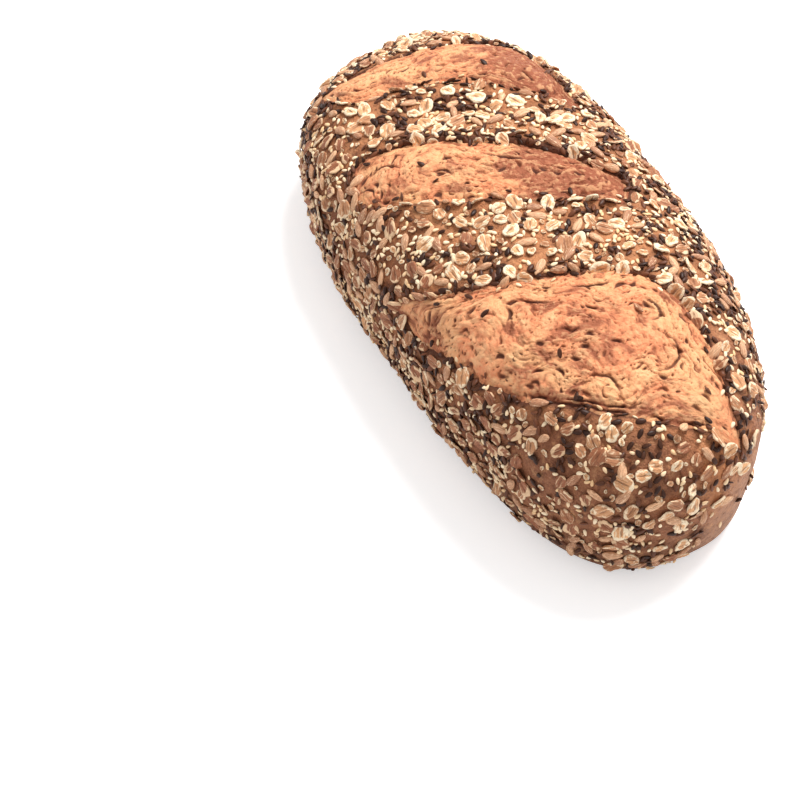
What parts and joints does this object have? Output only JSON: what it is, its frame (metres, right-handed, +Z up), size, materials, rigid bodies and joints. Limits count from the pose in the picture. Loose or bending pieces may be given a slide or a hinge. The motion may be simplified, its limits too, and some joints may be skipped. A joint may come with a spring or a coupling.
{
  "type": "seeded bread",
  "caption": "Whole oval loaf of multigrain bread with a flat base, three broad diagonal slashes opened across its back, and rolled flakes and kernels baked onto the crust.",
  "frame": {"origin": "middle of the loaf's plan at the level of its flat base", "axes": "+X runs along the loaf to its narrower and slightly taller end, +Y across it, +Z up from the flat base"},
  "size_m": [0.3238, 0.1574, 0.1003],
  "materials": {
    "crust": "matt baked crust: orange tan in the opened slashes, brown between the seeds, slightly shiny where it browned most",
    "flakes": "dry matt rolled oat and wheat flakes, cream at the rim and tan to grey brown in the middle",
    "sunflower": "dry matt hulled sunflower kernels, tan to grey brown",
    "sesame": "satin sesame seeds, cream to pale yellow",
    "linseed": "smooth slightly shiny linseeds, dark brown to nearly black"
  },
  "bodies": {
    "root": {"loaf": "crust"}
  },
  "joints": []
}
